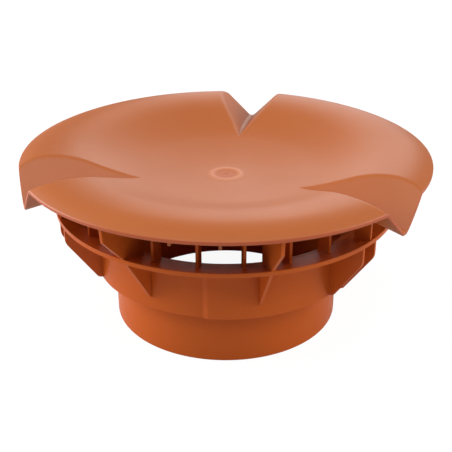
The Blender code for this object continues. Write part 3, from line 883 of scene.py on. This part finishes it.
def softbox(name, place, aim, size, watts):
    """A square area light that looks at a point."""
    data = bpy.data.lights.new(name, "AREA")
    data.shape = "SQUARE"
    data.size = size
    data.energy = watts
    lamp = bpy.data.objects.new(name, data)
    bpy.context.scene.collection.objects.link(lamp)
    lamp.location = place
    lamp.rotation_euler = (Vector(aim) - Vector(place)).to_track_quat("-Z", "Y").to_euler()
    return lamp


class VENTCAP_OT_stage(bpy.types.Operator):
    """Build the pale floor, the soft light and the camera"""
    bl_idname = "ventcap.stage"
    bl_label = "Build the stage"

    def execute(self, context):
        stage = context.scene.ventcap_stage
        ring = np.linspace(0.0, 2.0 * math.pi, FLOOR_CORNERS, endpoint=False)
        rim = around(stage.floor_radius, ring, 0.0)
        mesh = bpy.data.meshes.new("floor")
        mesh.from_pydata([tuple(point) for point in rim], [], [tuple(range(FLOOR_CORNERS))])
        floor = bpy.data.objects.new("floor", mesh)
        context.scene.collection.objects.link(floor)
        floor.data.materials.append(self.floor_material(stage))
        self.light(context, stage)
        self.camera(context, stage)
        return {"FINISHED"}

    def floor_material(self, stage):
        """Matt pale floor that is lit from behind where the camera sees it, as a light table is."""
        material = bpy.data.materials.new("studio_floor")
        nodes = Nodes(material)
        place = nodes.add("ShaderNodeTexCoord", {}, {}, "Object")
        cloud = nodes.noise(place, FLOOR_CLOUD_SCALE, FLOOR_CLOUD_DETAIL)
        nodes.put(nodes.shader, "Base Color", (*stage.floor_colour, 1.0))
        nodes.put(nodes.shader, "Roughness", FLOOR_ROUGHNESS + cloud * FLOOR_PATCHES)
        nodes.put(nodes.shader, "Specular IOR Level", FLOOR_SPECULAR)
        glow = nodes.add("ShaderNodeEmission", {}, {"Color": (1.0, 1.0, 1.0, 1.0), "Strength": FLOOR_GLOW})
        seen = nodes.add("ShaderNodeLightPath", {}, {}, "Is Camera Ray")
        both = nodes.add("ShaderNodeMixShader", {}, {0: seen * FLOOR_GLOW_SHARE, 2: glow})
        nodes.tree.links.new(nodes.shader.outputs[0], both.socket.node.inputs[1])
        nodes.tree.links.new(both.socket, nodes.tree.nodes["Material Output"].inputs["Surface"])
        return material

    def light(self, context, stage):
        """A dim surround that looks white to the camera, and softboxes overhead, at each side and behind."""
        world = bpy.data.worlds.new("studio")
        context.scene.world = world
        world.use_nodes = True
        surround = world.node_tree.nodes["Background"]
        surround.inputs["Color"].default_value = (1.0, 1.0, 1.0, 1.0)
        seen = world.node_tree.nodes.new("ShaderNodeLightPath")
        strength = world.node_tree.nodes.new("ShaderNodeMath")
        strength.operation = "MULTIPLY_ADD"
        strength.inputs[1].default_value = 1.0 - stage.sky
        strength.inputs[2].default_value = stage.sky
        world.node_tree.links.new(seen.outputs["Is Camera Ray"], strength.inputs[0])
        world.node_tree.links.new(strength.outputs[0], surround.inputs["Strength"])
        aim = (0.0, 0.0, 0.08)
        softbox("top_softbox", (0.0, -0.75, 1.5), aim, 1.4, stage.top_light)
        softbox("left_softbox", (-1.5, 0.05, 0.55), aim, 1.2, stage.left_light)
        softbox("right_softbox", (1.45, 0.15, 0.75), aim, 1.2, stage.right_light)
        softbox("back_softbox", (0.0, 1.7, 0.72), aim, 1.0, stage.back_light)

    def camera(self, context, stage):
        """The camera on its bearing and height, aimed at the axis of the vent."""
        rise, turn = stage.camera_rise, stage.camera_turn
        back = Vector((math.sin(turn) * math.cos(rise), -math.cos(turn) * math.cos(rise), math.sin(rise)))
        data = bpy.data.cameras.new("camera")
        data.lens, data.sensor_width = stage.camera_lens, SENSOR_WIDTH
        data.clip_start, data.clip_end = NEAREST, FARTHEST
        camera = bpy.data.objects.new("camera", data)
        context.scene.collection.objects.link(camera)
        camera.location = Vector((0.0, 0.0, stage.camera_aim)) + back * stage.camera_distance
        camera.rotation_euler = (-back).to_track_quat("-Z", "Y").to_euler()
        context.scene.camera = camera


class VENTCAP_PT_panel(bpy.types.Panel):
    """Sizes, colours and buttons of the vent cap"""
    bl_idname = "VENTCAP_PT_panel"
    bl_label = "Vent cap"
    bl_space_type = "VIEW_3D"
    bl_region_type = "UI"
    bl_category = "Vent cap"

    def draw(self, context):
        for group, operator in (("ventcap_base", "ventcap.base"), ("ventcap_lid", "ventcap.lid"),
                                ("ventcap_finish", None), ("ventcap_stage", "ventcap.stage")):
            settings = getattr(context.scene, group)
            box = self.layout.box()
            for name in settings.__annotations__:
                box.prop(settings, name)
            if operator:
                box.operator(operator)


CLASSES = (LidSizes, BaseSizes, PlasticFinish, StageSettings,
           VENTCAP_OT_lid, VENTCAP_OT_base, VENTCAP_OT_stage, VENTCAP_PT_panel)
GROUPS = {"ventcap_lid": LidSizes, "ventcap_base": BaseSizes,
          "ventcap_finish": PlasticFinish, "ventcap_stage": StageSettings}


def register():
    for cls in CLASSES:
        bpy.utils.register_class(cls)
    for name, group in GROUPS.items():
        setattr(bpy.types.Scene, name, PointerProperty(type=group))


def unregister():
    for name in GROUPS:
        delattr(bpy.types.Scene, name)
    for cls in reversed(CLASSES):
        bpy.utils.unregister_class(cls)


def main():
    """Build everything."""
    register()
    bpy.context.scene.view_settings.view_transform = "Standard"
    bpy.ops.ventcap.base()
    bpy.ops.ventcap.lid()
    bpy.ops.ventcap.stage()


if __name__ == "__main__":
    main()
